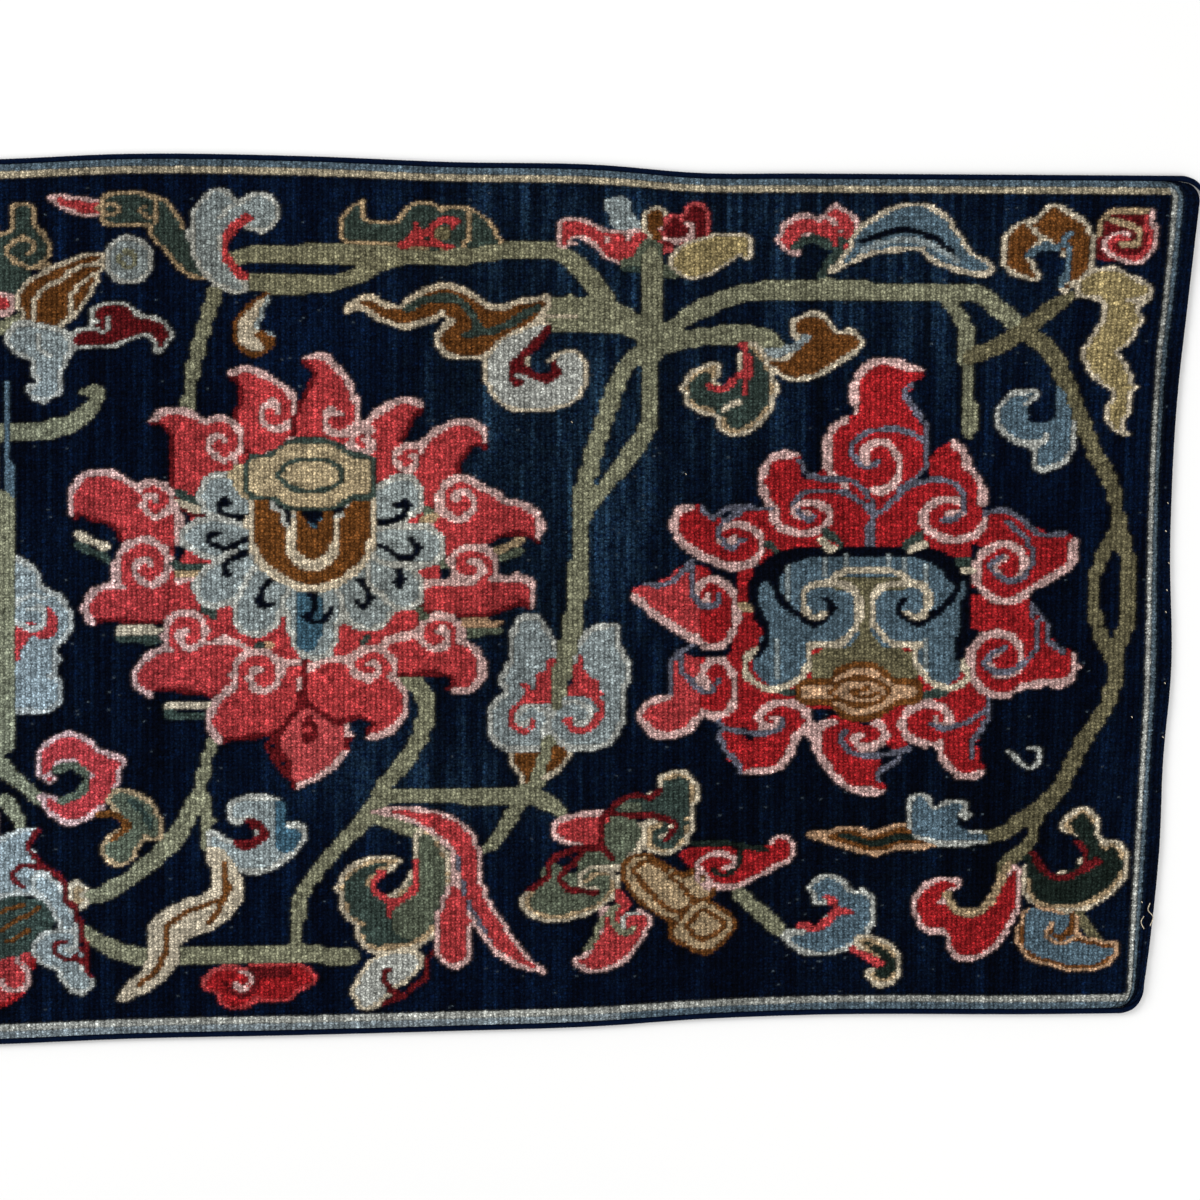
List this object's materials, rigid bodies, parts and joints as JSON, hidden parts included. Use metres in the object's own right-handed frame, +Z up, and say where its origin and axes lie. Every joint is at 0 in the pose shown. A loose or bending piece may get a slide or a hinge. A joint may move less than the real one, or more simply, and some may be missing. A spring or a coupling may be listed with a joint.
{
  "type": "tibetan rug",
  "caption": "Hand-knotted wool sleeping rug lying flat, navy ground with lotus flowers and scrolling vines, overcast cords along its long sides.",
  "frame": {"origin": "middle of the rug's box, on the surface that it lies on", "axes": "+X along the rug towards its worn, slanting end, +Y across it, +Z up out of the pile"},
  "size_m": [1.7914, 0.894, 0.01],
  "materials": {
    "knotted_wool": "knotted wool pile, navy with red, blue, sage, brown and cream motifs",
    "overcast_wool": "navy wool overcast in close turns"
  },
  "bodies": {
    "root": {"carpet": "knotted_wool", "side_cord_far": "overcast_wool", "side_cord_near": "overcast_wool"}
  },
  "joints": []
}
